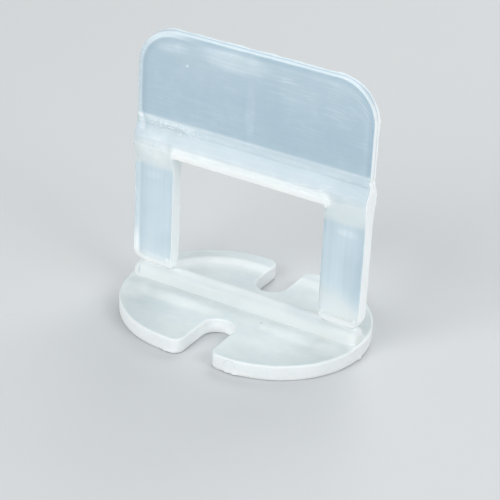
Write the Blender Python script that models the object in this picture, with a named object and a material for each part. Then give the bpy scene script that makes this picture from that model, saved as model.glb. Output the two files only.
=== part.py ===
"""Tile levelling clip, moulded in one piece from natural polypropylene.

A round-ended base slides under two tiles. A thin plate with a window stands on a rib across it,
in the joint between the tiles, and a wedge is driven through the window.
The origin is the middle of the base's underside. X runs along the plate, -Y is the front, +Z is up.
Outlines are lists of (u, v) points, counter-clockwise.
"""

import math

import bmesh
import bpy
from mathutils import Vector

# Plate, seen from the front
PLATE_WIDTH = 0.0400
LEG_WIDTH = 0.0069
WINDOW_HEIGHT = 0.0196
PANEL_HEIGHT = 0.0202
PANEL_CORNER_RADIUS = 0.0063
FOOT_OUTER_RADIUS = 0.0024
FOOT_INNER_RADIUS = 0.0009
FOOT_SINK = 0.00015
PLATE_ROOT = 0.0006
PLATE_EDGE_RADIUS = 0.0002

# Plate, in section from the break-off neck up
NECK_THICKNESS = 0.0007
LEG_THICKNESS = 0.0025
BAND_THICKNESS = 0.00344
SHOULDER_LOW_THICKNESS = 0.00192
SHOULDER_HIGH_THICKNESS = 0.0018
PANEL_LOW_THICKNESS = 0.00174
PANEL_HIGH_THICKNESS = 0.00155
FOOT_TAPER_HEIGHT = 0.0024
RAMP_TOE_HEIGHT = 0.0011
RAMP_TOE_SWELL = 0.00016
LOWER_RAMP_HEIGHT = 0.00215
WINDOW_TO_BAND = 0.00095
BAND_HEIGHT = 0.00155
UPPER_RAMP_HEIGHT = 0.00195
SHOULDER_HEIGHT = 0.00115
SHOULDER_STEP_HEIGHT = 0.00005

# Rib across the base
RIB_HEIGHT = 0.0022
RIB_FOOT_WIDTH = 0.0035
RIB_SHOULDER_WIDTH = 0.0032
RIB_SHOULDER_HEIGHT = 0.0012
RIB_CREST_WIDTH = 0.0006
RIB_END_INSET = 0.0001
RIB_END_RADIUS = 0.0012
RIB_END_NARROWING = 0.0005
RIB_ROOT = 0.0005

# Base
BASE_OVERHANG = 0.0003
BASE_DEPTH = 0.0302
BASE_END_RADIUS = 0.0151
BASE_THICKNESS = 0.0026
BASE_RIM_RADIUS = 0.0003
SLOT_WIDTH = 0.0053
SLOT_TO_RIB = 0.0039
SLOT_MOUTH_RADIUS = 0.0016

# Smoothness of the round stretches
END_STEPS = 26
SLOT_STEPS = 10
MOUTH_STEPS = 6
PANEL_CORNER_STEPS = 14
FOOT_STEPS = 6
TAPER_STEPS = 6
RIB_STEPS = 5
EDGE_STEPS = 2
SMOOTH_ANGLE = math.radians(32)

# Finish of the moulding
PLASTIC_COLOUR = (0.74, 0.83, 0.88, 1.0)
PLASTIC_ROUGHNESS = 0.32
PLASTIC_TRANSMISSION = 0.25

# Heights above the underside
RIB_TOP = BASE_THICKNESS + RIB_HEIGHT
LEG_START = RIB_TOP + FOOT_TAPER_HEIGHT
WINDOW_TOP = RIB_TOP + WINDOW_HEIGHT
PANEL_TOP = WINDOW_TOP + PANEL_HEIGHT
BAND_LOW = WINDOW_TOP + WINDOW_TO_BAND
RAMP_LOW = BAND_LOW - LOWER_RAMP_HEIGHT
TOE_LOW = RAMP_LOW - RAMP_TOE_HEIGHT
BAND_TOP = BAND_LOW + BAND_HEIGHT
SHOULDER_LOW = BAND_TOP + UPPER_RAMP_HEIGHT
SHOULDER_TOP = SHOULDER_LOW + SHOULDER_HEIGHT
PANEL_LOW = SHOULDER_TOP + SHOULDER_STEP_HEIGHT

# An edge radius takes at most this share of the wall that it rounds
EDGE_SHARE = 0.4
ROUND_PROFILE = 0.5
ALONG_AXIS = 0.9
SAME_POINT = 1e-7


def clear_scene():
    """Takes out whatever the file already holds."""
    for thing in list(bpy.data.objects):
        bpy.data.objects.remove(thing)


def arc(centre, radius, start, end, steps):
    """Points on a circle from one angle to another, in degrees, both ends included."""
    points = []
    for i in range(steps + 1):
        angle = math.radians(start + (end - start) * i / steps)
        points.append((centre[0] + radius * math.cos(angle), centre[1] + radius * math.sin(angle)))
    return points


def mirrored(points):
    """The same points with u turned round, in reverse order, so that the outline keeps its sense."""
    return [(-u, v) for u, v in reversed(points)]


def distinct(points):
    """A closed outline without repeated neighbours."""
    kept = []
    for i, point in enumerate(points):
        if math.dist(point, points[i - 1]) > SAME_POINT:
            kept.append(point)
    return kept


def prism(outline, place, sweep):
    """A closed solid: the outline set out by place(u, v) and swept along one vector."""
    bm = bmesh.new()
    corners = [bm.verts.new(place(u, v)) for u, v in outline]
    face = bm.faces.new(corners)
    swept = bmesh.ops.extrude_face_region(bm, geom=[face])
    far_corners = [item for item in swept["geom"] if isinstance(item, bmesh.types.BMVert)]
    bmesh.ops.translate(bm, verts=far_corners, vec=sweep)
    bmesh.ops.recalc_face_normals(bm, faces=bm.faces[:])
    return bm


def round_edges(bm, edges, radius, steps):
    """Rounds some edges of a solid, less where there is no room."""
    bmesh.ops.bevel(
        bm,
        geom=edges,
        affect="EDGES",
        offset=radius,
        offset_type="OFFSET",
        segments=steps,
        profile=ROUND_PROFILE,
        clamp_overlap=True,
    )


def rim_edges(bm, axis):
    """The edges between the two flat ends of a prism, which face along the axis, and its walls."""
    edges = []
    for edge in bm.edges:
        ends = [face for face in edge.link_faces if abs(face.normal.dot(axis)) > ALONG_AXIS]
        if len(ends) == 1:
            edges.append(edge)
    return edges


def make_object(name, bm):
    """A scene object from a finished solid."""
    mesh = bpy.data.meshes.new(name)
    bm.to_mesh(mesh)
    bm.free()
    made = bpy.data.objects.new(name, mesh)
    bpy.context.scene.collection.objects.link(made)
    return made


def base_side(u):
    """How far the long side of the base lies from the middle, at a distance u along it."""
    half_length = PLATE_WIDTH / 2 + BASE_OVERHANG
    radius = min(BASE_END_RADIUS, half_length, BASE_DEPTH / 2)
    past_straight = max(0.0, u - (half_length - radius))
    return BASE_DEPTH / 2 - radius + math.sqrt(radius**2 - past_straight**2)


def base_outline():
    """Plan of the base: a rounded rectangle with a round-ended slot from the middle of each long side.

    One quarter is set out from the end's middle to the slot's inner end, and is mirrored twice.
    The slot's mouth is a small circle that touches the slot's wall and the rim from inside.
    """
    half_length = PLATE_WIDTH / 2 + BASE_OVERHANG
    radius = min(BASE_END_RADIUS, half_length, BASE_DEPTH / 2)
    end_centre = (half_length - radius, BASE_DEPTH / 2 - radius)
    half_slot = SLOT_WIDTH / 2
    slot_centre = RIB_FOOT_WIDTH / 2 + SLOT_TO_RIB + half_slot
    mouth = min(SLOT_MOUTH_RADIUS, EDGE_SHARE * (base_side(half_slot) - slot_centre))
    past_straight = max(0.0, half_slot + mouth - end_centre[0])
    rise = math.sqrt((radius - mouth) ** 2 - past_straight**2)
    touch = math.degrees(math.atan2(rise, past_straight))
    quarter = arc(end_centre, radius, 0, touch, END_STEPS)
    quarter += arc((half_slot + mouth, end_centre[1] + rise), mouth, touch, 180, MOUTH_STEPS)
    quarter += arc((0, slot_centre), half_slot, 0, -90, SLOT_STEPS)
    upper = quarter + mirrored(quarter)
    lower = [(-u, -v) for u, v in upper]
    return distinct(upper + lower)


def make_base():
    """The foot that goes under the tiles, with a softened rim."""
    bm = prism(base_outline(), lambda u, v: Vector((u, v, 0)), Vector((0, 0, BASE_THICKNESS)))
    rim_radius = min(BASE_RIM_RADIUS, EDGE_SHARE * BASE_THICKNESS)
    round_edges(bm, rim_edges(bm, Vector((0, 0, 1))), rim_radius, EDGE_STEPS)
    return make_object("levelling_clip", bm)


def rib_ring(x, inset, narrowing):
    """Section of the rib at x: drafted walls under a quarter ellipse each side of a flat crest.

    The inset lowers the section, and the narrowing takes each side in, towards the rib's ends.
    """
    half_foot = RIB_FOOT_WIDTH / 2 - narrowing
    half_shoulder = RIB_SHOULDER_WIDTH / 2 - narrowing
    half_crest = min(RIB_CREST_WIDTH / 2, half_shoulder)
    share = 1 - inset / RIB_HEIGHT
    side = [(half_foot, -RIB_ROOT), (half_foot, 0.0)]
    for i in range(RIB_STEPS + 1):
        angle = math.pi / 2 * i / RIB_STEPS
        across = half_crest + (half_shoulder - half_crest) * math.cos(angle)
        rise = RIB_SHOULDER_HEIGHT + (RIB_HEIGHT - RIB_SHOULDER_HEIGHT) * math.sin(angle)
        side.append((across, rise * share))
    ring = side + mirrored(side)
    return [Vector((x, across, BASE_THICKNESS + rise)) for across, rise in ring]


def make_rib():
    """The rib: sections carried along X, lowered and narrowed round a quarter circle at each end."""
    half_length = PLATE_WIDTH / 2 - RIB_END_INSET
    radius = min(RIB_END_RADIUS, EDGE_SHARE * 2 * RIB_HEIGHT)
    end_rows = []
    for i in range(RIB_STEPS + 1):
        angle = math.pi / 2 * i / RIB_STEPS
        left_over = 1 - math.sin(angle)
        x = half_length - radius + radius * math.cos(angle)
        end_rows.append((x, radius * left_over, RIB_END_NARROWING * left_over))
    rows = end_rows + [(-x, inset, narrowing) for x, inset, narrowing in reversed(end_rows)]
    bm = bmesh.new()
    rings = []
    for x, inset, narrowing in rows:
        rings.append([bm.verts.new(point) for point in rib_ring(x, inset, narrowing)])
    for ring, following in zip(rings, rings[1:]):
        for i in range(len(ring)):
            bm.faces.new((ring[i - 1], ring[i], following[i], following[i - 1]))
    bm.faces.new(rings[0])
    bm.faces.new(rings[-1])
    bmesh.ops.recalc_face_normals(bm, faces=bm.faces[:])
    return make_object("rib", bm)


def leg_foot(u_inner, u_outer):
    """Foot of the right leg from its inner to its outer side, corners rounded, rooted in the rib."""
    foot = RIB_TOP - FOOT_SINK
    inner_centre = (u_inner + FOOT_INNER_RADIUS, foot + FOOT_INNER_RADIUS)
    outer_centre = (u_outer - FOOT_OUTER_RADIUS, foot + FOOT_OUTER_RADIUS)
    points = arc(inner_centre, FOOT_INNER_RADIUS, 180, 270, FOOT_STEPS)
    points.append((inner_centre[0], RIB_TOP - PLATE_ROOT))
    points.append((outer_centre[0], RIB_TOP - PLATE_ROOT))
    points += arc(outer_centre, FOOT_OUTER_RADIUS, 270, 360, FOOT_STEPS)
    return points


def plate_outline():
    """The plate from the front: a panel with rounded top corners on two legs, with the window between."""
    half_width = PLATE_WIDTH / 2
    half_window = half_width - LEG_WIDTH
    radius = min(PANEL_CORNER_RADIUS, half_width)
    right = [(half_window, WINDOW_TOP)]
    right += leg_foot(half_window, half_width)
    right += arc((half_width - radius, PANEL_TOP - radius), radius, 0, 90, PANEL_CORNER_STEPS)
    return distinct(right + mirrored(right))


def section_rows():
    """(height, half thickness) where the plate's section bends, from the neck to the top.

    The foot swells from the neck along half a parabola. The other stretches are straight.
    """
    rows = []
    for i in range(TAPER_STEPS):
        share = i / TAPER_STEPS
        swell = (LEG_THICKNESS - NECK_THICKNESS) * (1 - (1 - share) ** 2)
        rows.append((RIB_TOP + FOOT_TAPER_HEIGHT * share, (NECK_THICKNESS + swell) / 2))
    rows.append((LEG_START, LEG_THICKNESS / 2))
    rows.append((TOE_LOW, LEG_THICKNESS / 2))
    rows.append((RAMP_LOW, (LEG_THICKNESS + RAMP_TOE_SWELL) / 2))
    rows.append((BAND_LOW, BAND_THICKNESS / 2))
    rows.append((BAND_TOP, BAND_THICKNESS / 2))
    rows.append((SHOULDER_LOW, SHOULDER_LOW_THICKNESS / 2))
    rows.append((SHOULDER_TOP, SHOULDER_HIGH_THICKNESS / 2))
    rows.append((PANEL_LOW, PANEL_LOW_THICKNESS / 2))
    rows.append((PANEL_TOP, PANEL_HIGH_THICKNESS / 2))
    return rows


def half_thickness(rows, z):
    """Half the plate's thickness at one height, straight between the section's rows."""
    if z <= rows[0][0]:
        return rows[0][1]
    for (z_low, half_low), (z_high, half_high) in zip(rows, rows[1:]):
        if z <= z_high:
            return half_low + (half_high - half_low) * (z - z_low) / (z_high - z_low)
    return rows[-1][1]


def make_plate():
    """The plate: a flat blank with rounded edges, cut across at each row and then brought to its section.

    Each vertex keeps its depth below the face, so the rounded edges keep their size as the wall swells.
    """
    rows = section_rows()
    edge_radius = min(PLATE_EDGE_RADIUS, EDGE_SHARE * NECK_THICKNESS)
    blank_half = LEG_THICKNESS / 2
    outline = plate_outline()
    bm = prism(outline, lambda u, v: Vector((u, -blank_half, v)), Vector((0, 2 * blank_half, 0)))
    round_edges(bm, rim_edges(bm, Vector((0, 1, 0))), edge_radius, EDGE_STEPS)
    for z, _ in rows[:-1]:
        everything = bm.verts[:] + bm.edges[:] + bm.faces[:]
        bmesh.ops.bisect_plane(
            bm, geom=everything, dist=SAME_POINT, plane_co=Vector((0, 0, z)), plane_no=Vector((0, 0, 1))
        )
    for vert in bm.verts:
        depth = blank_half - abs(vert.co.y)
        vert.co.y = math.copysign(half_thickness(rows, vert.co.z) - depth, vert.co.y)
    return make_object("plate", bm)


def fuse(body, tools):
    """Joins each tool to the body as one moulding and keeps the tools as hidden guides."""
    for tool in tools:
        union = body.modifiers.new("fuse_" + tool.name, "BOOLEAN")
        union.operation = "UNION"
        union.solver = "EXACT"
        union.object = tool
        tool.hide_render = True
        tool.display_type = "WIRE"


def plastic():
    """Natural polypropylene: milky, slightly blue, half clear."""
    material = bpy.data.materials.new("natural_polypropylene")
    material.use_nodes = True
    shader = material.node_tree.nodes["Principled BSDF"]
    shader.inputs["Base Color"].default_value = PLASTIC_COLOUR
    shader.inputs["Roughness"].default_value = PLASTIC_ROUGHNESS
    shader.inputs["Metallic"].default_value = 0.0
    shader.inputs["Transmission Weight"].default_value = PLASTIC_TRANSMISSION
    return material


def shade(made):
    """Smooth shading that keeps the creases."""
    made.data.shade_smooth()
    made.data.set_sharp_from_angle(angle=SMOOTH_ANGLE)


def main():
    clear_scene()
    clip = make_base()
    rib = make_rib()
    plate = make_plate()
    finish = plastic()
    for made in (clip, rib, plate):
        made.data.materials.append(finish)
        shade(made)
    fuse(clip, (rib, plate))


main()
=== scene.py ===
"""The looks of the tile levelling clip: one moulding of natural polypropylene, milky and half clear.

Shapes are worked out in millimetres and brought to metres when a mesh is made.
A slab is set out in its own plane as (u, v), with w towards the viewer of that plane.
"""

import functools
import math
from types import SimpleNamespace

import bpy
import numpy as np
from mathutils import Matrix, Vector, geometry


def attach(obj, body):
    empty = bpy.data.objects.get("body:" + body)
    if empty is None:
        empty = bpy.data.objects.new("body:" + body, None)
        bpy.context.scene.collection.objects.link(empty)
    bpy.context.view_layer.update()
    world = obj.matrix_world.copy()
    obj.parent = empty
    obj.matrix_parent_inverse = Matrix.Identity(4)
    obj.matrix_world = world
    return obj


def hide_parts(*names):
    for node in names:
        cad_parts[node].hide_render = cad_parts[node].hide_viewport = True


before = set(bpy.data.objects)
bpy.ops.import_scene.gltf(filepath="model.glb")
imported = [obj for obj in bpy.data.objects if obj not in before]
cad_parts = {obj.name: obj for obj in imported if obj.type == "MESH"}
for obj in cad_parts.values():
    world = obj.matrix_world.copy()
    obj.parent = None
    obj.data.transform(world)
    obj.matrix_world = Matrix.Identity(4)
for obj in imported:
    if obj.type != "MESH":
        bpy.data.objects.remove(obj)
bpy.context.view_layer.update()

MM = 0.001

# Plate, from the front
HALF_WIDTH = 20.0
HALF_WINDOW = 13.1
BASE_TOP = 2.6
RIB_TOP = 4.8
WINDOW_TOP = 24.4
PANEL_TOP = 44.6
PANEL_CORNER = 6.3
FOOT_OUTER = 2.4
FOOT_INNER = 0.9
FOOT_LOW = 4.65
ROOT_LOW = 4.2
PLATE_EDGE = 0.2

# Plate, half thickness in section
NECK_HALF = 0.35
LEG_HALF = 1.25
LEG_START = 7.2
SECTION_HEIGHTS = [7.2, 22.1, 23.2, 25.35, 26.9, 28.85, 30.3, 30.4, 44.6]
SECTION_HALVES = [1.25, 1.25, 1.33, 1.72, 1.72, 0.96, 0.90, 0.87, 0.775]
SECTION_BLEND = 0.22
SECTION_STEP = 0.02

# Fine lines that the mould's cutter left across the band's upper ramp and shoulder: heights and how far
# each stands out (above nought) or is sunk, which also sets how light or dark each looks: a painted
# highlight on the raised ones and painted shade in the sunk ones
CUTTER_LINES = (
    (25.3, 0.0), (25.85, -0.14), (26.3, -0.05), (26.6, -0.06), (26.95, -0.02), (27.2, -0.1), (27.45, -0.04),
    (27.7, 0.04), (27.85, 0.02), (28.1, 0.11), (28.25, 0.02), (28.4, 0.05), (28.5, 0.03), (28.62, 0.06),
    (28.8, 0.0), (29.05, 0.1), (29.25, 0.26), (29.4, 0.12), (29.55, 0.2), (29.8, 0.02), (30.05, 0.06),
    (30.2, 0.16), (30.32, 0.12), (30.5, 0.0),
)
LINE_RELIEF = 0.022

# The ragged flash along the back of the panel's top: its place across the wall and its height, uneven by
# waves, each with a share, a seed and a length
FLASH_START = 36.0
FLASH_RISE = 3.0
FLASH_HEIGHT = 0.19
FLASH_LINE = -0.72
FLASH_SPREAD = 0.16
FLASH_MEAN = 0.6
FLASH_WAVES = ((0.4, 3, 5.0), (0.2, 4, 1.6))
FLASH_RANGE = (0.05, 1.2)

# Waver of the walls and sink of the faces: how far, and the waves' seed and length
WAVER = 0.035
PLATE_WAVER = (5, 6.0)
BASE_WAVER = (6, 7.0)
SINK = 0.012
SINK_WAVES = (1, 9.0)
WAVE_COUNT = 8
WAVE_STRETCH = (0.6, 1.6)
WAVE_DIVISOR = 3.5
WAVE_TURN = 6.28

# Lumps and dents of the moulding: place along both axes of the slab, height and radius; those of the
# base's rim lie on a line near its lower edge
NUB = (-20.0, 25.2, 0.3, 0.28)
NOTCH = (20.0, 29.5, -0.18, 0.3)
BULGE = (20.0, 27.6, 0.14, 1.3)
RIGHT_NUB = (20.0, 25.4, 0.07, 0.4)
RIM_LUMPS = (
    (5.8, -15.1, 0.24, 0.5), (7.1, -15.1, 0.4, 0.5), (8.2, -15.0, 0.15, 0.4), (-3.7, -15.0, 0.22, 0.4),
    (-4.9, -15.1, 0.3, 0.5), (20.3, -0.4, 0.34, 0.45),
)
LUMP_LINE = -0.85
LUMP_SPREAD = 0.3

# Base and rib
BASE_HALF_LENGTH = 20.3
BASE_HALF_DEPTH = 15.1
BASE_END_RADIUS = 15.1
BASE_EDGE = 0.3
SLOT_HALF = 2.65
SLOT_INNER_END = 5.65
MOUTH_RADIUS = 1.6
RIB_FOOT_HALF = 1.75
RIB_SHOULDER_HALF = 1.6
RIB_SHOULDER_RISE = 1.2
RIB_CREST_HALF = 0.3
RIB_CREST_SHARE = 1 / 3
RIB_CREST_RISE = 0.02
RIB_HALF_LENGTH = 19.9
RIB_END_RADIUS = 1.2
RIB_END_NARROWING = 0.9
RIB_ROOT = 0.5

# The plastic's colour by height: it is whiter where it is thicker and at the legs' feet; on the rib it is
# lighter low on its sides, painted light, and darker towards the crest, painted shade where the lamps fall
# most
MILKINESS = (
    (0.0, (0.62, 0.685, 0.695)), (2.70, (0.62, 0.685, 0.695)), (2.75, (0.745, 0.787, 0.785)),
    (3.80, (0.765, 0.805, 0.80)), (4.40, (0.695, 0.74, 0.748)), (4.80, (0.665, 0.71, 0.72)),
    (5.00, (0.80, 0.88, 0.92)), (6.20, (0.75, 0.85, 0.90)), (8.50, (0.685, 0.80, 0.865)),
    (12.0, (0.685, 0.80, 0.865)), (21.9, (0.655, 0.775, 0.845)), (22.4, (0.765, 0.845, 0.865)),
    (25.5, (0.77, 0.85, 0.87)), (26.9, (0.69, 0.79, 0.85)), (30.3, (0.66, 0.77, 0.83)),
    (30.7, (0.49, 0.625, 0.71)), (36.0, (0.488, 0.62, 0.708)), (44.6, (0.54, 0.67, 0.745)),
)
# The light and the dark that tones mix towards, for painted light and shade as well as for marks of the
# plastic
LIGHT = (0.93, 0.96, 0.96, 1)
DARK = (0.30, 0.42, 0.51, 1)
PLATE_FROST = ((0.865, 0.90, 0.91, 1), (0.905, 0.935, 0.945, 1))
BASE_FROST = ((0.75, 0.782, 0.788, 1), (0.785, 0.812, 0.818, 1))
# Inside the window the walls are painted lighter and bluer: painted light lifting the shade there
WINDOW_WALL = (0.90, 0.98, 1.0, 1)
WINDOW_WALL_SHARE = 0.9

# Where one part of the finish gives way to the next: from and to, along X, Y or Z
BASE_TOP_FADE = (2.7, 2.75)
BEHIND_RIB_FADE = (1.8, 2.6)
FOOT_FADE = (4.85, 7.0)
ABOVE_RIB_FADE = (4.85, 4.95)
LEG_TOP_FADE = (22.0, 23.2)
HALVES_FADE = (-1.0, 1.0)
LEG_HALVES_FADE = (-1.2, 1.2)
SHOULDER_FADE = (27.6, 28.2)
PANEL_FADE = (30.3, 30.8)
PANEL_LEFT_FADE = (-14.0, -8.0)
WINDOW_WALL_FADE = (13.6, 14.2)
PARTING_FADE = (28.0, 30.0)
TOP_WALL_FADE = (38.5, 43.5)
GATE_FADE = (1.1, 1.5)
PLATE_FROST_FADE = (0.35, 0.8)
BASE_FROST_FADE = (0.12, 0.5)

# Painted light and shade on the faces at a distance in from their edge, where walls and edges would show
# through
PANEL_BORDER = (
    (0.0, 0.6), (0.05, 0.3), (0.12, -0.1), (0.25, -0.34), (0.4, -0.2), (0.7, -0.08), (0.85, 0.0),
    (1.05, 0.07), (1.3, 0.06), (1.9, 0.0),
)

# The painted light bar at the panel's left edge, standing for the wall seen through: tones by distance, less
# a shift that falls from the shoulder to the panel while the bar gets lighter
PANEL_LEFT_BORDER = (
    (-0.95, -0.1), (-0.15, 0.06), (0.0, 0.42), (0.1, 0.32), (0.6, 0.36), (0.78, 0.04), (0.95, -0.3),
    (1.15, -0.26), (1.5, -0.08), (2.0, 0.05), (3.0, 0.05), (4.5, 0.0),
)
BAR_FADE = (28.0, 31.5)
BAR_SHIFT = (0.92, 0.08)
BAR_TONE = (0.75, 1.0)

# Painted light and shade along the legs' borders, where hidden walls would show through: at the left side of
# each leg, and at the right side of both
LEFT_LEG_BORDER = (
    (0.0, 0.2), (0.2, 0.06), (0.4, 0.0), (0.7, 0.22), (0.85, 0.16), (1.1, -0.08), (1.45, -0.24),
    (1.8, -0.1), (2.4, 0.0),
)
RIGHT_LEG_BORDER = (
    (0.0, -0.1), (0.15, -0.3), (0.35, -0.2), (0.6, -0.04), (0.8, -0.04), (1.1, -0.1), (1.6, -0.08),
    (2.2, 0.0),
)
LEG_RIGHT_BORDER = (
    (0.0, 0.2), (0.08, 0.0), (0.2, -0.14), (0.35, -0.1), (0.6, -0.04), (0.9, -0.08), (1.4, -0.06),
    (2.0, 0.0),
)

# The painted glow of the legs' feet: a painted light border that ends higher up on the outer left side, and a
# painted glow by height
FOOT_BORDER = ((0.0, 0.7), (0.75, 0.7), (1.0, 0.4), (1.3, 0.0))
FOOT_SIDE_FADE = (-18.0, -16.0)
FOOT_BORDER_STARTS = (7.5, 6.4)
FOOT_BORDER_ENDS = (13.5, 7.4)
FOOT_GLOW = ((4.8, 0.95), (5.7, 0.9), (6.4, 0.45), (7.3, 0.0))

# Painted light and shade on the base: a faint painted shade line in front by distance; behind, by distance
# from the round ends and fading to the right, painted light for the back wall seen through the top; and by Y
# beside the rib, painted light that lifts the shade there
FRONT_LOBE_BORDER = ((0.0, 0.0), (0.3, -0.07), (0.7, -0.03), (1.7, 0.0))
BACK_LOBE_BORDER = (
    (0.0, 0.1), (0.4, 0.0), (2.1, -0.02), (2.9, 0.5), (4.2, 0.55), (5.2, 0.25), (6.6, 0.0),
)
BACK_LOBE_FADE = (1.0, 4.0)
BACK_LOBE_TONE = (1.0, 0.45)
RIB_SIDE_SHADE_LIFT = ((-5.0, 0.0), (-3.0, 0.02), (-2.5, 0.1), (-1.75, 0.26))

# The painted glow over the window by distance from its top edge, rounded off from a start at each end over a
# reach
WINDOW_GLOW = ((0.0, 1.0), (0.8, 0.95), (1.0, 0.75), (1.8, 0.62), (2.2, 0.36), (2.7, 0.12), (3.3, 0.0))
GLOW_LEFT = (12.2, 1.5)
GLOW_RIGHT = (13.1, 1.6)
GLOW_POWER = 3
GLOW_DROP = 6

# How light or dark the walls look from the front edge to the back one, by Y, the painted shade on the top,
# where the lamps fall most, and where painted light gathers in the front slot
PARTING_LINES = (
    (-0.95, 0.0), (-0.75, -0.12), (-0.4, -0.03), (-0.08, 0.0), (0.0, -0.5), (0.16, -0.5), (0.26, 0.0),
    (0.95, 0.0),
)
PARTING_SHARE = 0.8
TOP_WALL_PAINTED_SHADE = 0.5
SLOT_GLOW_PLACE = ((-0.5, -7.5, 0.2), (4.5, 5, 2.4))
SLOT_GLOW = 0.6

# Lighter and darker places on the faces, partly painted light and shade, partly clouds, specks and marks of
# the
# plastic: middle, half sizes and tone
PLACES = (
    ((-3, -1, 42.6), (8, 3, 2.4), 0.22),
    ((-15, -1, 42.7), (4.5, 3, 2), 0.22),
    ((-8, -1, 37.5), (7, 3, 7), 0.07),
    ((-0.3, -1, 35), (1.1, 3, 7), 0.1),
    ((-16.2, -1, 25.4), (4.6, 3, 3.4), 0.35),
    ((-15, -1, 29.95), (8, 3, 0.5), 0.26),
    ((17.5, -1, 27.9), (4.5, 3, 1.1), -0.14),
    ((17.4, -1, 23.6), (4.6, 3, 2.2), 0.1),
    ((17.3, -1, 20.8), (2.6, 3, 0.9), 0.2),
    ((-16.8, -1, 20.6), (2.2, 3, 0.8), 0.12),
    ((18.4, -1, 14), (2.4, 3, 8), -0.08),
    ((19.7, -1, 17), (0.9, 3, 9), -0.14),
    ((20.3, 0, 3.2), (2.4, 5, 3), 0.16),
    ((12.5, 0, 4.5), (7, 3, 1.3), -0.1),
    ((16.6, -0.1, 4.8), (5.5, 0.8, 0.4), 0.4),
    ((-16.6, -0.1, 4.8), (5.5, 0.8, 0.4), 0.35),
    ((-9.6, -4.9, 2.6), (10, 2.0, 1), 0.22),
    ((2.5, -6, 2.6), (6, 4, 1), -0.08),
    ((12, -4.2, 2.6), (8, 1.8, 1), 0.09),
    ((-13.4, 6.6, 2.6), (6, 5, 1), 0.08),
    ((-3.4, 9, 2.6), (6, 7, 1), -0.14),
    ((6.5, 9, 2.6), (6, 7, 1), -0.05),
    ((-11.2, -8.2, 2.6), (5, 3.5, 1), -0.13),
    ((-17, -5.6, 2.6), (3.6, 3.6, 1), 0.3),
    ((17, -4.6, 2.6), (3.2, 2.6, 1), 0.22),
    ((4.8, -3.4, 2.6), (0.3, 0.3, 0.5), -0.5),
    ((5.7, -4.6, 2.6), (0.9, 0.9, 0.5), 0.16),
    ((-18.6, -1.4, 3.7), (0.25, 0.9, 1.0), -0.4),
    ((-11.4, -0.8, 39.9), (0.4, 2, 0.32), 0.35),
)

# Milkier places with a painted glow at the legs' feet: middle, half sizes, colour and the share of it
MILKY_GLOW_PLACES = (
    ((15.0, -1, 6.6), (7, 3, 6.5), (0.83, 0.855, 0.85, 1), 0.75),
    ((18.4, -1, 6.2), (4, 3, 4), (0.83, 0.855, 0.85, 1), 0.55),
    ((16.8, -1, 5.1), (5, 3, 1.2), (1, 1, 1, 1), 0.9),
    ((-16.8, -1, 5.1), (5, 3, 1.0), (1, 1, 1, 1), 0.7),
)

# The gate's mark: a half oval line on the front wall beside the slot
GATE_MIDDLE = (6.2, -15.0, 1.5)
GATE_HALF = (1.0, 2.0, 0.9)
GATE_LINE = ((0.0, 0.04), (0.76, 0.0), (0.88, -0.28), (1.0, 0.05), (1.2, 0.0))

# Noises: stretch along X, Y and Z, detail, the range that is used and the tones that it gives; the
# walls' grain is used as it is
UNEVENNESS = ((0.35, 0, 1.2), 4.0, (0.3, 0.7), (0.1, 1.1))
HAIRLINES = ((0.16, 0, 3.0), 3.0, (0.35, 0.7), (-0.04, 0.04))
FLOW_LINES = ((1.6, 0, 0.05), 2.0, (0.35, 0.7), (-0.05, 0.05))
CLOUDS = ((0.14, 0.3, 0.14), 2.0, (0.35, 0.7), (-0.07, 0.07))
# The glints are painted highlights
GLINTS = ((2.2, 0, 4.5), 2.0, (0.5, 0.62), (0.0, 0.28))
MOTTLES = ((0.9, 0.9, 0.9), 3.0, (0.3, 0.7), (-0.04, 0.04))
SWIRLS = ((0.45, 0, 2.6), 3.0, (0.5, 0.72), (0.0, 0.25))
STROKES = ((1.0, 4.5, 1.0), 2.0, (0.54, 0.72), (0.0, 0.3))
SPECKLES = ((3.5, 3.5, 3.5), 3.0, (0.35, 0.65), (0.0, 1.0))
GRAIN = ((3.0, 3.0, 3.0), 2.0)
NOISE_ROUGHNESS = 0.55
CUTTER_TONE = 1.1
PANEL_MOTTLES = 0.6

# Where some noises show: middle and half sizes
MOTTLED_PLACE = ((-17, -1, 26.4), (6, 3, 4))
SWIRL_PLACE = ((13, -1, 26.3), (9, 3, 2.6))
GLINT_PLACE = ((-13.5, -1, 29.2), (7, 3, 1.2))
STROKE_PLACE = ((10.5, -1, 40.6), (15, 3, 4.4))
PATCH_PLATEAU = 0.6

# The scratches bend down from an X on, round a height, and are long along X
STROKE_BEND = 12.5
STROKE_BEND_RATE = 1.15
STROKE_CENTRE = 32.0
STROKE_ALONG = 0.13

# The plastic's clearness and roughness: on the plate's faces and at the foot, rib and base; what the
# walls, light places and the inner side of the surface change
CLEAR = (0.4, 0.1)
CLEAR_WALL_SHARE = 0.1
CLEAR_LIGHT_FROM = 0.8
CLEAR_LIGHT_SHARE = 0.2
CLEAR_INSIDE = 0.95
ROUGH = (0.22, 0.6)
ROUGH_WALL = 0.2
ROUGH_WALL_INSIDE = 0.4
ROUGH_SPECKLE = 0.08
BUMP = {"Strength": 0.3, "Distance": 0.00002}
REFRACTION = 1.49
SCATTER = 0.6
SCATTER_RADIUS = (0.9, 1.0, 1.1)
SCATTER_SCALE = 0.001

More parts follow.
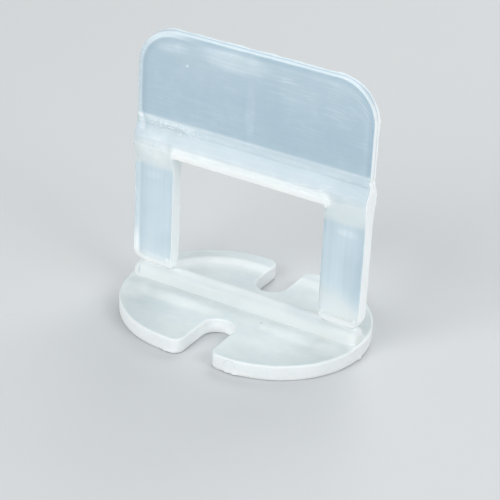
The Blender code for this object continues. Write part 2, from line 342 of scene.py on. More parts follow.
# Fineness of the meshes
STEP = 0.32
GRID = 0.55
GRID_START = 0.3
GRID_CLEARANCE = 0.4
BEND_STEP = 0.24
EDGE_STEPS = 4
FACE_RINGS = (0.08, 0.35)
WALL_STEPS = 8
RIB_STEPS = 8
CLOSE_ROW = 0.1
CLOSE_REACH = 0.3
FOOT_ROW = 0.15
LEAST_ROW = 0.03
ROW_MARGIN = 0.02
FACE_HOLD = 8
CHUNK = 4000
FILL_TOLERANCE = 1e-6
WELD = 1e-7
SMOOTH_ANGLE = math.radians(35)

# How attributes tell the plate and the rib from the base, and the distance past which they stop counting
PLATE_REACH = 1.8
PLATE_START = RIB_TOP + 0.03
RIB_START = BASE_TOP + 0.01
FAR = 8

# The camera: the eye's place and turn, with lengths in millimetres from the middle of the base's top
VIEW_AZIMUTH = math.radians(29.337)
VIEW_ELEVATION = math.radians(28.236)
VIEW_ROLL = math.radians(2.838)
VIEW_DISTANCE = 304.30
VIEW_ACROSS = 0.691
VIEW_UP = 8.451
VIEW_BASE_TOP = 2.62
FOCAL_PIXELS = 1970.5
PHOTO_PIXELS = 500
SENSOR = 36.0
CLIP_START = 0.01

# Floor, surroundings and lamps, in metres: name, place, size and power
FLOOR_SIZE = 4
FLOOR_COLOUR = (0.55, 0.57, 0.58, 1)
FLOOR_ROUGHNESS = 0.7
STUDIO_COLOUR = (0.97, 0.99, 1.0, 1)
STUDIO_LEVEL = 0.45
LAMPS = (
    ("key", (-0.16, -0.63, 0.44), 0.5, 3.6),
    ("side", (0.62, -0.12, 0.4), 0.4, 2.3),
    ("back", (-0.05, 0.5, 0.55), 0.5, 2.4),
)
LAMP_TARGET = (0, 0, 0.02)


def spaced(low, high, step):
    """Values from low up to high, high left out, at most one step apart."""
    count = max(1, math.ceil(abs(high - low) / step))
    return np.linspace(low, high, count, endpoint=False)


def straight(start, end, step=STEP):
    """Points along a straight line, the last one left out."""
    start, end = np.array(start, float), np.array(end, float)
    share = spaced(0.0, 1.0, step / np.linalg.norm(end - start))
    return start + share[:, None] * (end - start)


def bend(centre, radius, start, end):
    """Points along a circle between two angles in degrees, the last one left out."""
    turn = np.radians(spaced(start, end, math.degrees(BEND_STEP / radius)))
    return np.array(centre) + radius * np.stack([np.cos(turn), np.sin(turn)], 1)


def upright(u, low, high, rows):
    """Points on an upright side at every row between two heights, the last one left out."""
    between = rows[(rows > min(low, high) + ROW_MARGIN) & (rows < max(low, high) - ROW_MARGIN)]
    heights = np.concatenate([[low], between if high > low else between[::-1]])
    return np.stack([np.full(len(heights), u), heights], 1)


def half_thickness(z):
    """Half the plate's thickness: a parabola up from the neck, then straight stretches with blended bends."""
    fine = np.arange(RIB_TOP, PANEL_TOP, SECTION_STEP)
    share = np.clip((fine - RIB_TOP) / (LEG_START - RIB_TOP), 0, 1)
    foot = NECK_HALF + (LEG_HALF - NECK_HALF) * (1 - (1 - share) ** 2)
    wall = np.interp(fine, SECTION_HEIGHTS, SECTION_HALVES)
    half = np.where(fine < LEG_START, foot, wall)
    width = round(SECTION_BLEND / SECTION_STEP)
    padded = np.pad(half, width, mode="edge")
    window = np.hanning(2 * width + 1)
    half = np.convolve(padded, window / window.sum(), mode="valid")
    line_heights, relief = np.array(CUTTER_LINES).T
    return np.interp(z, fine, half + LINE_RELIEF * np.interp(fine, line_heights, relief))


def plate_rows():
    """Heights at which the plate's mesh has a row: close where the section bends, wide on the flats."""
    flats = np.arange(ROOT_LOW, PANEL_TOP, GRID)
    reach = np.arange(-CLOSE_REACH, CLOSE_REACH + CLOSE_ROW / 2, CLOSE_ROW)
    bends = [z + reach for z in SECTION_HEIGHTS[1:4]]
    lines = np.arange(CUTTER_LINES[0][0], CUTTER_LINES[-1][0], CLOSE_ROW)
    foot = np.arange(RIB_TOP, LEG_START, FOOT_ROW)
    rows = np.unique(np.concatenate([flats, *bends, lines, foot]).round(3))
    keep = np.concatenate([[True], np.diff(rows) > LEAST_ROW])
    return rows[keep]


def plate_outline(rows):
    """The plate from the front, counter-clockwise: its right half up to the top's middle, mirrored."""
    inner = (HALF_WINDOW + FOOT_INNER, FOOT_LOW + FOOT_INNER)
    outer = (HALF_WIDTH - FOOT_OUTER, FOOT_LOW + FOOT_OUTER)
    corner = (HALF_WIDTH - PANEL_CORNER, PANEL_TOP - PANEL_CORNER)
    right = np.concatenate([
        upright(HALF_WINDOW, WINDOW_TOP, inner[1], rows),
        bend(inner, FOOT_INNER, 180, 270),
        straight((inner[0], FOOT_LOW), (inner[0], ROOT_LOW)),
        straight((inner[0], ROOT_LOW), (outer[0], ROOT_LOW)),
        straight((outer[0], ROOT_LOW), (outer[0], FOOT_LOW)),
        bend(outer, FOOT_OUTER, 270, 360),
        upright(HALF_WIDTH, outer[1], corner[1], rows),
        bend(corner, PANEL_CORNER, 0, 90),
        straight((corner[0], PANEL_TOP), (0, PANEL_TOP)),
    ])
    left = right[::-1] * [-1, 1]
    window = straight((-HALF_WINDOW, WINDOW_TOP), (HALF_WINDOW, WINDOW_TOP))[1:]
    return np.concatenate([right, [[0, PANEL_TOP]], left, window])


def base_outline():
    """The base from above, counter-clockwise: a quarter from the end's middle to the slot, mirrored twice."""
    centre = np.array([BASE_HALF_LENGTH - BASE_END_RADIUS, BASE_HALF_DEPTH - BASE_END_RADIUS])
    mouth = (SLOT_HALF + MOUTH_RADIUS, BASE_HALF_DEPTH - MOUTH_RADIUS)
    slot_centre = (0, SLOT_INNER_END + SLOT_HALF)
    quarter = np.concatenate([
        bend(centre, BASE_END_RADIUS, 0, 90),
        straight((centre[0], BASE_HALF_DEPTH), (mouth[0], BASE_HALF_DEPTH)),
        bend(mouth, MOUTH_RADIUS, 90, 180),
        straight((SLOT_HALF, mouth[1]), (SLOT_HALF, slot_centre[1])),
        bend(slot_centre, SLOT_HALF, 0, -90),
    ])
    middle = [[0, SLOT_INNER_END]]
    upper = np.concatenate([quarter, middle, quarter[:0:-1] * [-1, 1]])
    end = [[-BASE_HALF_LENGTH, 0]]
    return np.concatenate([upper, end, -upper[1:]])


def outward(outline):
    """Mitred normals of a counter-clockwise outline, so that an inset by them keeps its distance."""
    along = np.roll(outline, -1, 0) - outline
    along /= np.linalg.norm(along, axis=1)[:, None]
    normal = np.stack([along[:, 1], -along[:, 0]], 1)
    before = np.roll(normal, 1, 0)
    return (normal + before) / (1 + (normal * before).sum(1))[:, None]


def edge_distance(points, outline):
    """How far points lie from an outline, positive inside: nearest segment, signed by crossings counted."""
    start, end = outline, np.roll(outline, -1, 0)
    along = end - start
    length2 = (along**2).sum(1)
    out = []
    for some in np.array_split(points, max(1, len(points) // CHUNK)):
        gap = some[:, None, :] - start
        share = np.clip((gap * along).sum(2) / length2, 0, 1)
        near = np.sqrt(((gap - share[..., None] * along) ** 2).sum(2)).min(1)
        above = (start[:, 1] > some[:, 1:2]) != (end[:, 1] > some[:, 1:2])
        with np.errstate(divide="ignore", invalid="ignore"):
            cross = start[:, 0] + along[:, 0] * (some[:, 1:2] - start[:, 1]) / along[:, 1]
        inside = ((some[:, 0:1] < cross) & above).sum(1) % 2 == 1
        out.append(np.where(inside, near, -near))
    return np.concatenate(out)


def rim_profile():
    """Across the wall from the front face to the back: a quarter circle, the flat wall, a quarter circle.

    Gives the inset, the share of the flat wall and the share of the edge's round.
    """
    turn = np.linspace(0, np.pi / 2, EDGE_STEPS + 1)
    flat = np.linspace(1, -1, WALL_STEPS + 1)[1:-1]
    inset = np.concatenate([1 - np.sin(turn), 0 * flat, 1 - np.sin(turn[::-1])])
    wall = np.concatenate([0 * turn + 1, flat, 0 * turn - 1])
    edge = np.concatenate([np.cos(turn), 0 * flat, -np.cos(turn[::-1])])
    return inset, wall, edge


def slab(outline, grid, half, edge, place, proud=None):
    """A closed slab: two filled faces joined by a rim that is the outline carried over the rim's profile.

    half(u, v) is half the thickness, edge the radius of the rim's rounds, place(u, v, w) the point in the
    object, and proud(u, v, wall) how far the rim stands out, none at the faces.
    """
    inset, wall, round_share = rim_profile()
    normal = outward(outline)
    u = outline[:, 0, None] - normal[:, 0, None] * inset * edge
    v = outline[:, 1, None] - normal[:, 1, None] * inset * edge
    thick = half(u, v)
    w = wall * (thick - edge) + round_share * edge
    if proud is not None:
        out = proud(u, v, w / thick) * (1 - np.abs(w / thick) ** FACE_HOLD)
        u = u + normal[:, 0, None] * out
        v = v + normal[:, 1, None] * out
    rim = place(u, v, w).reshape(-1, 3)
    count, across = u.shape
    row = np.arange(count)[:, None] * across
    following = (np.arange(count)[:, None] + 1) % count * across
    column = np.arange(across - 1)[None, :]
    quads = np.stack([row + column, row + column + 1, following + column + 1, following + column], -1)
    quads = quads.reshape(-1, 4)
    ring = np.stack([u[:, 0], v[:, 0]], 1)
    insets = [ring - normal * inset for inset in FACE_RINGS]
    inner = grid[edge_distance(grid, ring) > FACE_RINGS[-1] + GRID_CLEARANCE * GRID]
    flat = np.concatenate([ring, *insets, inner])
    loop = np.arange(count)
    edges = np.stack([loop, (loop + 1) % count], 1)
    made = geometry.delaunay_2d_cdt(flat.tolist(), edges.tolist(), [], 1, FILL_TOLERANCE)
    found = np.array(made[0])
    faces = np.array(made[2])
    a, b, c = found[faces[:, 0]], found[faces[:, 1]], found[faces[:, 2]]
    turned = np.cross(b - a, c - a) < 0
    faces[turned] = faces[turned][:, ::-1]
    high = half(found[:, 0], found[:, 1])
    front = place(found[:, 0], found[:, 1], high)
    back = place(found[:, 0], found[:, 1], -high)
    points = np.concatenate([rim, front, back])
    start_front = len(rim)
    start_back = start_front + len(front)
    return points, [quads, faces + start_front, faces[:, ::-1] + start_back]


def rib_surface():
    """The rib: a drafted section with an elliptic top carried along X, lowered and narrowed at both ends."""
    turn = np.linspace(0, np.pi / 2, RIB_STEPS + 1)
    across = RIB_CREST_HALF + (RIB_SHOULDER_HALF - RIB_CREST_HALF) * np.cos(turn)
    rise = RIB_SHOULDER_RISE + (RIB_TOP - BASE_TOP - RIB_SHOULDER_RISE) * np.sin(turn)
    draft = (RIB_FOOT_HALF - RIB_SHOULDER_HALF) / RIB_SHOULDER_RISE
    crest = RIB_CREST_HALF * RIB_CREST_SHARE
    side_y = np.concatenate([[RIB_FOOT_HALF + draft * RIB_ROOT], across, [crest]])
    side_z = np.concatenate([[-RIB_ROOT], rise, [RIB_TOP - BASE_TOP + RIB_CREST_RISE]])
    ring_y = np.concatenate([side_y, -side_y[::-1]])
    ring_z = np.concatenate([side_z, side_z[::-1]])
    end_x = RIB_HALF_LENGTH - RIB_END_RADIUS + RIB_END_RADIUS * np.cos(turn)
    end_left = 1 - np.sin(turn)
    middle = spaced(end_x[-1], -end_x[-1], STEP)[1:]
    x = np.concatenate([end_x, middle, -end_x[::-1]])
    left = np.concatenate([end_left, 0 * middle, end_left[::-1]])
    lowered = 1 - RIB_END_RADIUS * left / (RIB_TOP - BASE_TOP)
    y = ring_y * (1 - RIB_END_NARROWING / RIB_FOOT_HALF * left[:, None])
    z = np.where(ring_z > 0, ring_z * lowered[:, None], ring_z + 0 * left[:, None])
    points = np.stack([x[:, None] + 0 * y, y, BASE_TOP + z], -1).reshape(-1, 3)
    count, size = y.shape
    row = np.arange(count - 1)[:, None] * size
    column = np.arange(size)[None, :]
    after = (column + 1) % size
    quads = np.stack([row + column, row + size + column, row + size + after, row + after], -1)
    caps = [np.arange(size)[None, :], np.arange(size)[None, ::-1] + (count - 1) * size]
    return points, [quads.reshape(-1, 4), *caps]


def make_piece(name, points, face_sets):
    """An object from points in millimetres and arrays of faces, with doubles merged by a modifier."""
    mesh = bpy.data.meshes.new(name)
    faces = [face for faces in face_sets for face in faces.tolist()]
    mesh.from_pydata((points * MM).tolist(), [], faces)
    mesh.validate()
    made = bpy.data.objects.new(name, mesh)
    bpy.context.scene.collection.objects.link(made)
    weld = made.modifiers.new("weld", "WELD")
    weld.merge_threshold = WELD
    return made


def fused(name, parts):
    """One closed mesh from several overlapping closed ones."""
    body = parts[0]
    for part in parts[1:]:
        union = body.modifiers.new("fuse", "BOOLEAN")
        union.operation = "UNION"
        union.solver = "EXACT"
        union.object = part
    view = body.evaluated_get(bpy.context.evaluated_depsgraph_get())
    mesh = bpy.data.meshes.new_from_object(view)
    mesh.name = name
    for part in parts:
        bpy.data.objects.remove(part)
    made = bpy.data.objects.new(name, mesh)
    bpy.context.scene.collection.objects.link(made)
    mesh.shade_smooth()
    mesh.set_sharp_from_angle(angle=SMOOTH_ANGLE)
    return made


def swell(u, v, place):
    """A lump or dent: a bell round a place, (u, v, height, radius)."""
    return place[2] * np.exp(-((u - place[0]) ** 2 + (v - place[1]) ** 2) / place[3] ** 2)


def waves(u, v, seed, length):
    """A smooth random field between about -1 and 1: the sum of sine waves in random directions."""
    random = np.random.default_rng(seed)
    low, high = (0, 0, WAVE_STRETCH[0]), (WAVE_TURN, WAVE_TURN, WAVE_STRETCH[1])
    height = 0 * u
    for turn, phase, stretch in random.uniform(low, high, (WAVE_COUNT, 3)):
        along = u * np.cos(turn) + v * np.sin(turn)
        height = height + np.sin(along * WAVE_TURN / length * stretch + phase)
    return height / WAVE_DIVISOR


def plate_rim(u, v, share):
    """How far the plate's rim stands out: a ragged flash along the back of the top, lumps and a waver."""
    ragged = sum((part * waves(u, v, seed, length) for part, seed, length in FLASH_WAVES), FLASH_MEAN)
    rising_flash = smooth_step(v, FLASH_START, FLASH_START + FLASH_RISE)
    flash = FLASH_HEIGHT * np.clip(ragged, *FLASH_RANGE) * rising_flash
    out = flash * np.exp(-(((share - FLASH_LINE) / FLASH_SPREAD) ** 2))
    for place in (NUB, NOTCH, BULGE, RIGHT_NUB):
        out = out + swell(u, v, place)
    return out + WAVER * waves(u, v, *PLATE_WAVER)


def base_rim(u, v, share):
    """How far the base's rim stands out: lumps along its lower edge and a waver."""
    low = np.exp(-(((share - LUMP_LINE) / LUMP_SPREAD) ** 2))
    lumps = sum(swell(u, v, place) for place in RIM_LUMPS)
    return lumps * low + WAVER * waves(u, v, *BASE_WAVER)


def make_clip():
    """The clip in one mesh: the plate's and the base's slabs and the rib, fused."""
    rows = plate_rows()
    outline = plate_outline(rows)
    columns = np.arange(-HALF_WIDTH + GRID_START, HALF_WIDTH, GRID)
    grid = np.stack(np.meshgrid(columns, rows), -1).reshape(-1, 2)
    plate = make_piece("plate", *slab(
        outline, grid, lambda u, v: half_thickness(v) + SINK * waves(u, v, *SINK_WAVES), PLATE_EDGE,
        lambda u, v, w: np.stack([u, -w, v], -1), plate_rim,
    ))
    outline = base_outline()
    columns = np.arange(-BASE_HALF_LENGTH, BASE_HALF_LENGTH, GRID)
    ranks = np.arange(-BASE_HALF_DEPTH, BASE_HALF_DEPTH, GRID)
    grid = np.stack(np.meshgrid(columns, ranks), -1).reshape(-1, 2)
    base = make_piece("base", *slab(
        outline, grid, lambda u, v: 0 * u + BASE_TOP / 2, BASE_EDGE,
        lambda u, v, w: np.stack([u, v, w + BASE_TOP / 2], -1), base_rim,
    ))
    rib = make_piece("rib", *rib_surface())
    return fused("moulded_clip", [base, rib, plate])


def smooth_step(x, low, high):
    """A cubic rise from nought at one value to one at another."""
    t = np.clip((x - low) / (high - low), 0, 1)
    return t * t * (3 - 2 * t)


def mark_surface(clip):
    """Attributes for the finish, at every point.

    Frost is one on the walls and nought on the faces. Rim is the distance in from the walls, sill the one
    from the window's top edge, and shore the one from the base's round ends as if it had no slots.
    """
    mesh = clip.data
    count = len(mesh.vertices)
    co = np.zeros(count * 3, np.float32)
    mesh.vertices.foreach_get("co", co)
    co = co.reshape(-1, 3) / MM
    normal = np.zeros(count * 3, np.float32)
    mesh.vertex_normals.foreach_get("vector", normal)
    normal = np.abs(normal.reshape(-1, 3))
    on_plate = (co[:, 2] > PLATE_START) & (np.abs(co[:, 1]) < PLATE_REACH)
    rim = np.where(
        on_plate,
        edge_distance(co[:, [0, 2]], plate_outline(plate_rows())),
        edge_distance(co[:, [0, 1]], base_outline()),
    )
    on_rib = ~on_plate & (co[:, 2] > RIB_START)
    wall_plate = smooth_step(1 - normal[:, 1], *PLATE_FROST_FADE)
    wall_base = smooth_step(1 - normal[:, 2], *BASE_FROST_FADE)
    frost = np.where(on_plate, wall_plate, np.where(on_rib, 0, wall_base))
    above = co[:, 2] - WINDOW_TOP
    left = np.maximum(-GLOW_LEFT[0] - co[:, 0], 0) / GLOW_LEFT[1]
    right = np.maximum(co[:, 0] - GLOW_RIGHT[0], 0) / GLOW_RIGHT[1]
    aside = (left + right) * WINDOW_GLOW[-1][0]
    sill = (np.maximum(above, -GLOW_DROP * above) ** GLOW_POWER + aside**GLOW_POWER) ** (1 / GLOW_POWER)
    sill = np.where(on_plate, sill, FAR)
    beyond = np.maximum(np.abs(co[:, 0]) - BASE_HALF_LENGTH + BASE_END_RADIUS, 0)
    shore = BASE_END_RADIUS - np.hypot(beyond, co[:, 1])
    for name, values in {"frost": frost, "rim": rim, "sill": sill, "shore": shore}.items():
        made = mesh.attributes.new(name, "FLOAT", "POINT")
        made.data.foreach_set("value", np.clip(values, 0, FAR).astype(np.float32))


def node(tree, kind, inputs=None, **values):
    """A node with some of its settings and of its inputs given; an input may be another node's output."""
    made = tree.nodes.new(kind)
    for name, value in values.items():
        setattr(made, name, value)
    for name, value in (inputs or {}).items():
        if isinstance(value, bpy.types.NodeSocket):
            tree.links.new(value, made.inputs[name])
        else:
            made.inputs[name].default_value = value
    return made


def attribute(tree, name):
    """One of the mesh's attributes."""
    return node(tree, "ShaderNodeAttribute", attribute_name=name).outputs["Fac"]


def ramp(tree, value, low, high, out_low=0.0, out_high=1.0):
    """The value brought from one range to another, held at the ends and eased between them."""
    inputs = {"Value": value, "From Min": low, "From Max": high, "To Min": out_low, "To Max": out_high}
    return node(tree, "ShaderNodeMapRange", inputs, interpolation_type="SMOOTHSTEP").outputs["Result"]


def rising(tree, value, fade):
    """Nought before a fade and one after it."""
    return ramp(tree, value, *fade)


def falling(tree, value, fade):
    """One before a fade and nought after it."""
    return ramp(tree, value, *fade, 1.0, 0.0)


def maths(tree, operation, first, second=0.0, third=0.0):
    """One step of arithmetic on numbers or sockets."""
    return node(tree, "ShaderNodeMath", {0: first, 1: second, 2: third}, operation=operation).outputs[0]


def blend(tree, share, first, second):
    """Two colours mixed by a share."""
    inputs = {"Factor": share, "A": first, "B": second}
    return node(tree, "ShaderNodeMix", inputs, data_type="RGBA").outputs["Result"]


def noise(tree, place, stretch, detail):
    """Noise with one blotch per millimetre times the stretch, which may differ along each axis."""
    moved = node(tree, "ShaderNodeMapping", {"Vector": place, "Scale": stretch}, vector_type="POINT")
    inputs = {"Vector": moved.outputs[0], "Scale": 1.0, "Detail": detail, "Roughness": NOISE_ROUGHNESS}
    return node(tree, "ShaderNodeTexNoise", inputs).outputs["Fac"]


def toned(tree, place, kind):
    """A range of one kind of noise, eased into tones."""
    stretch, detail, used, tones = kind
    return ramp(tree, noise(tree, place, stretch, detail), *used, *tones)


def graph(tree, value, stops, colours=False):
    """A value looked up in a table of stops: (position, tone) or (position, colour)."""
    low, high = stops[0][0], stops[-1][0]
    share = node(tree, "ShaderNodeMapRange", {"Value": value, "From Min": low, "From Max": high}).outputs[0]
    made = node(tree, "ShaderNodeValToRGB", {"Fac": share})
    elements = made.color_ramp.elements
    while len(elements) < len(stops):
        elements.new(0.5)
    for element, (place, entry) in zip(elements, stops):
        element.position = (place - low) / (high - low)
        element.color = (*entry, 1) if colours else (*[0.5 + 0.5 * entry] * 3, 1)
    if colours:
        return made.outputs["Color"]
    return maths(tree, "MULTIPLY_ADD", made.outputs["Color"], 2.0, -1.0)


def patch(tree, place, centre, size):
    """One in the middle of an ellipsoid, fading to nought at its surface."""
    inputs = {"Vector": place, "Location": centre, "Scale": size}
    moved = node(tree, "ShaderNodeMapping", inputs, vector_type="TEXTURE").outputs[0]
    made = node(tree, "ShaderNodeTexGradient", {"Vector": moved}, gradient_type="SPHERICAL")
    return ramp(tree, made.outputs["Fac"], 0.0, PATCH_PLATEAU)


def product(tree, *values):
    """Numbers or sockets multiplied, from the first to the last."""
    return functools.reduce(lambda first, second: maths(tree, "MULTIPLY", first, second), values)


def total(tree, *values):
    """Numbers or sockets added, from the first to the last."""
    return functools.reduce(lambda first, second: maths(tree, "ADD", first, second), values)


def surface_fields(tree):
    """The sockets that the finish is worked out from: places in millimetres, shares and attributes."""
    metres = node(tree, "ShaderNodeTexCoord").outputs["Object"]
    place = node(tree, "ShaderNodeVectorMath", {0: metres, "Scale": 1 / MM}, operation="SCALE").outputs[0]
    x, y, z = node(tree, "ShaderNodeSeparateXYZ", {0: place}).outputs
    leg_middle = (HALF_WINDOW + HALF_WIDTH) / 2
    from_middle = maths(tree, "SUBTRACT", maths(tree, "ABSOLUTE", x), leg_middle)
    across = maths(tree, "MULTIPLY", from_middle, maths(tree, "SIGN", x))
    above_rib = rising(tree, z, ABOVE_RIB_FADE)
    return SimpleNamespace(
        place=place, x=x, y=y, z=z,
        frost=attribute(tree, "frost"),
        rim=attribute(tree, "rim"),
        sill=attribute(tree, "sill"),
        shore=attribute(tree, "shore"),
        base=falling(tree, z, BASE_TOP_FADE),
        back=rising(tree, y, BEHIND_RIB_FADE),
        front=falling(tree, y, BEHIND_RIB_FADE),
        foot=falling(tree, z, FOOT_FADE),
        above_rib=above_rib,
        leg=product(tree, above_rib, falling(tree, z, LEG_TOP_FADE)),
        left_half=falling(tree, x, HALVES_FADE),
        right_half=rising(tree, x, HALVES_FADE),
        leg_left=falling(tree, across, LEG_HALVES_FADE),
        leg_right=rising(tree, across, LEG_HALVES_FADE),
        panel=rising(tree, z, PANEL_FADE),
        panel_left=product(tree, falling(tree, x, PANEL_LEFT_FADE), rising(tree, z, SHOULDER_FADE)),
        panel_right=rising(tree, x, PANEL_LEFT_FADE),
    )


def painted_edge_light(tree, at):
    """Painted light and shade: lines along the faces' edges where walls would show through, the glow of the
    feet and over the window, and the base's lobes and top beside the rib.
    """
    shift = ramp(tree, at.z, *BAR_FADE, *BAR_SHIFT)
    left_bar = graph(tree, maths(tree, "SUBTRACT", at.rim, shift), PANEL_LEFT_BORDER)
    foot_fade = [ramp(tree, at.x, *FOOT_SIDE_FADE, *ends) for ends in (FOOT_BORDER_STARTS, FOOT_BORDER_ENDS)]
    round_foot = product(tree, falling(tree, at.z, foot_fade), graph(tree, at.rim, FOOT_BORDER))
    to_right = ramp(tree, at.x, *BACK_LOBE_FADE, *BACK_LOBE_TONE)
    return total(
        tree,
        product(tree, at.panel, at.panel_right, graph(tree, at.rim, PANEL_BORDER)),
        product(tree, at.panel_left, ramp(tree, at.z, *BAR_FADE, *BAR_TONE), left_bar),
        product(tree, at.leg, at.leg_left, at.left_half, graph(tree, at.rim, LEFT_LEG_BORDER)),
        product(tree, at.leg, at.leg_left, at.right_half, graph(tree, at.rim, RIGHT_LEG_BORDER)),
        product(tree, at.leg, at.leg_right, graph(tree, at.rim, LEG_RIGHT_BORDER)),
        product(tree, at.leg, maths(tree, "MAXIMUM", round_foot, graph(tree, at.z, FOOT_GLOW))),
        product(tree, at.base, at.back, to_right, graph(tree, at.shore, BACK_LOBE_BORDER)),
        # Painted light on the base's top beside the rib, lifting the shade there
        product(tree, at.base, at.front, graph(tree, at.y, RIB_SIDE_SHADE_LIFT)),
        product(tree, at.base, at.front, graph(tree, at.rim, FRONT_LOBE_BORDER)),
        graph(tree, at.sill, WINDOW_GLOW),
    )


def drag_tone(tree, at):
    """Scratches that run along the panel's top and bend down at its right corner."""
    aside = maths(tree, "MAXIMUM", maths(tree, "SUBTRACT", at.x, STROKE_BEND), 0.0)
    above = maths(tree, "SUBTRACT", at.z, STROKE_CENTRE)
    bent = node(tree, "ShaderNodeCombineXYZ", {"X": product(tree, aside, STROKE_BEND_RATE), "Y": above})
    reach = node(tree, "ShaderNodeVectorMath", {0: bent.outputs[0]}, operation="LENGTH").outputs["Value"]
    along = node(tree, "ShaderNodeCombineXYZ", {"X": product(tree, at.x, STROKE_ALONG), "Y": reach})
    strokes = toned(tree, along.outputs[0], STROKES)
    return product(tree, strokes, at.panel, patch(tree, at.place, *STROKE_PLACE))


def fine_tone(tree, at):
    """The cutter's lines with painted highlights and shade, mottles, swirls, hairlines on the panel, flow
    lines, painted glints and clouds.
    """
    panel_mottles = product(tree, at.panel, PANEL_MOTTLES)
    mottled = total(tree, at.base, panel_mottles, patch(tree, at.place, *MOTTLED_PLACE))
    return total(
        tree,
        # The cutter's lines: painted highlights and painted shade along them, made uneven by noise
        product(tree, graph(tree, at.z, CUTTER_LINES), toned(tree, at.place, UNEVENNESS), CUTTER_TONE),
        product(tree, toned(tree, at.place, MOTTLES), mottled),
        product(tree, toned(tree, at.place, SWIRLS), patch(tree, at.place, *SWIRL_PLACE)),
        product(tree, toned(tree, at.place, HAIRLINES), at.panel),
        product(tree, toned(tree, at.place, FLOW_LINES), at.leg),
        product(tree, toned(tree, at.place, GLINTS), patch(tree, at.place, *GLINT_PLACE)),
        toned(tree, at.place, CLOUDS),
    )


def wall_colour(tree, at):
    """Frosted white, painted lighter in the window and the front slot, with the mould's parting line,
    painted shade on the top and the gate's mark; and its speckle.
    """
    speckle = toned(tree, at.place, SPECKLES)
    white = blend(tree, speckle, *PLATE_FROST)
    # Painted light: the walls inside the window are lighter and bluer
    in_window = falling(tree, maths(tree, "ABSOLUTE", at.x), WINDOW_WALL_FADE)
    white = blend(tree, product(tree, in_window, WINDOW_WALL_SHARE), white, WINDOW_WALL)
    # Painted light where it gathers on the base's walls in the front slot
    painted_slot_light = product(tree, patch(tree, at.place, *SLOT_GLOW_PLACE), SLOT_GLOW)
    base_white = blend(tree, painted_slot_light, blend(tree, speckle, *BASE_FROST), LIGHT)
    white = blend(tree, at.base, white, base_white)
    lines = product(tree, graph(tree, at.y, PARTING_LINES), rising(tree, at.z, PARTING_FADE), -PARTING_SHARE)
    # Painted shade on the walls' top, where the lamps fall most
    top = ramp(tree, at.z, *TOP_WALL_FADE, 0.0, TOP_WALL_PAINTED_SHADE)
    inputs = {"Vector": at.place, "Location": GATE_MIDDLE, "Scale": GATE_HALF}
    moved = node(tree, "ShaderNodeMapping", inputs, vector_type="TEXTURE").outputs[0]
    from_gate = node(tree, "ShaderNodeVectorMath", {0: moved}, operation="LENGTH").outputs["Value"]
    gate = product(tree, graph(tree, from_gate, GATE_LINE), rising(tree, at.z, GATE_FADE), -1.0)
    return blend(tree, total(tree, lines, top, gate), white, DARK), speckle


def polypropylene():
    """Milky plastic: bluer and clearer where thin, whiter where thick, with frosted white walls and painted
    light and shade.
    """
    material = bpy.data.materials.new("natural_polypropylene")
    material.use_nodes = True
    tree = material.node_tree
    shader = tree.nodes["Principled BSDF"]
    at = surface_fields(tree)
    # The tone: painted light and shade, with the scratches, noises, clouds, specks and marks of the plastic
    places = [product(tree, patch(tree, at.place, middle, half), tone) for middle, half, tone in PLACES]
    tone = total(tree, painted_edge_light(tree, at), drag_tone(tree, at), fine_tone(tree, at), *places)
    lighter = node(tree, "ShaderNodeClamp", {"Value": tone}).outputs[0]
    darker = node(tree, "ShaderNodeClamp", {"Value": maths(tree, "MULTIPLY", tone, -1.0)}).outputs[0]
    colour = graph(tree, at.z, MILKINESS, colours=True)
    colour = blend(tree, lighter, colour, LIGHT)
    colour = blend(tree, darker, colour, DARK)
    # Milkier places, partly a painted glow at the legs' feet
    for middle, half, milky, share in MILKY_GLOW_PLACES:
        covered = product(tree, patch(tree, at.place, middle, half), at.above_rib, share)
        colour = blend(tree, covered, colour, milky)
    walls, speckle = wall_colour(tree, at)
    colour = blend(tree, at.frost, colour, walls)
    tree.links.new(colour, shader.inputs["Base Color"])

    inside = node(tree, "ShaderNodeNewGeometry").outputs["Backfacing"]
    clear = product(
        tree,
        ramp(tree, at.foot, 0, 1, *CLEAR),
        ramp(tree, at.frost, 0, 1, 1.0, CLEAR_WALL_SHARE),
        ramp(tree, lighter, 0.0, CLEAR_LIGHT_FROM, 1.0, CLEAR_LIGHT_SHARE),
    )
    clear = maths(tree, "MAXIMUM", clear, product(tree, inside, CLEAR_INSIDE))
    tree.links.new(clear, shader.inputs["Transmission Weight"])
    rough = total(
        tree,
        ramp(tree, at.foot, 0, 1, *ROUGH),
        product(tree, at.frost, ROUGH_WALL),
        product(tree, inside, at.frost, ROUGH_WALL_INSIDE),
        product(tree, speckle, at.frost, ROUGH_SPECKLE),
    )
    tree.links.new(rough, shader.inputs["Roughness"])
    grain = product(tree, noise(tree, at.place, *GRAIN), at.frost)
    bump = node(tree, "ShaderNodeBump", {"Height": grain, **BUMP})
    tree.links.new(bump.outputs["Normal"], shader.inputs["Normal"])
    shader.inputs["IOR"].default_value = REFRACTION
    shader.inputs["Subsurface Weight"].default_value = SCATTER
    shader.inputs["Subsurface Radius"].default_value = SCATTER_RADIUS
    shader.inputs["Subsurface Scale"].default_value = SCATTER_SCALE
    return material


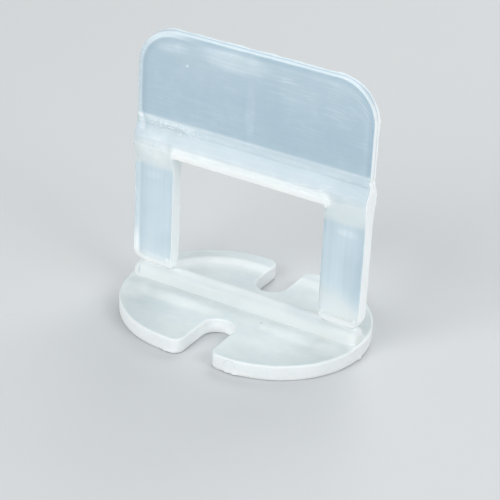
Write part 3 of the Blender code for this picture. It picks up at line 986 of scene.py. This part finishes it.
def make_camera():
    """The camera at the photograph's angle, turned round its own axis by the roll."""
    cos_a, sin_a = math.cos(VIEW_AZIMUTH), math.sin(VIEW_AZIMUTH)
    cos_e, sin_e = math.cos(VIEW_ELEVATION), math.sin(VIEW_ELEVATION)
    back = Vector((sin_a * cos_e, -cos_a * cos_e, sin_e))
    level = Vector((cos_a, sin_a, 0))
    rise = back.cross(level)
    right = math.cos(VIEW_ROLL) * level + math.sin(VIEW_ROLL) * rise
    up = math.cos(VIEW_ROLL) * rise - math.sin(VIEW_ROLL) * level
    eye = VIEW_ACROSS * right + VIEW_UP * up + VIEW_DISTANCE * back + Vector((0, 0, VIEW_BASE_TOP))
    data = bpy.data.cameras.new("camera")
    data.sensor_width = SENSOR
    data.lens = SENSOR * FOCAL_PIXELS / PHOTO_PIXELS
    data.clip_start = CLIP_START
    camera = bpy.data.objects.new("camera", data)
    turn = Matrix((right, up, back)).transposed().to_4x4()
    camera.matrix_world = Matrix.Translation(eye * MM) @ turn
    bpy.context.scene.collection.objects.link(camera)
    bpy.context.scene.camera = camera


def softbox(name, place, size, power):
    """A square area lamp that looks at the clip."""
    data = bpy.data.lights.new(name, "AREA")
    data.size = size
    data.energy = power
    lamp = bpy.data.objects.new(name, data)
    lamp.location = place
    lamp.rotation_euler = (Vector(LAMP_TARGET) - Vector(place)).to_track_quat("-Z", "Y").to_euler()
    bpy.context.scene.collection.objects.link(lamp)


def make_stage():
    """A pale floor, even light from all round and three soft lamps."""
    bpy.ops.mesh.primitive_plane_add(size=FLOOR_SIZE)
    floor = bpy.context.object
    floor.name = "floor"
    material = bpy.data.materials.new("floor_pale")
    material.use_nodes = True
    shader = material.node_tree.nodes["Principled BSDF"]
    shader.inputs["Base Color"].default_value = FLOOR_COLOUR
    shader.inputs["Roughness"].default_value = FLOOR_ROUGHNESS
    floor.data.materials.append(material)
    world = bpy.data.worlds.new("studio")
    bpy.context.scene.world = world
    world.use_nodes = True
    light = world.node_tree.nodes["Background"].inputs
    light["Color"].default_value = STUDIO_COLOUR
    light["Strength"].default_value = STUDIO_LEVEL
    for lamp in LAMPS:
        softbox(*lamp)


make_camera()
clip = make_clip()
mark_surface(clip)
clip.data.materials.clear()
clip.data.materials.append(polypropylene())
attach(clip, "root")
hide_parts("levelling_clip")
make_stage()
bpy.context.scene.view_settings.view_transform = "Standard"
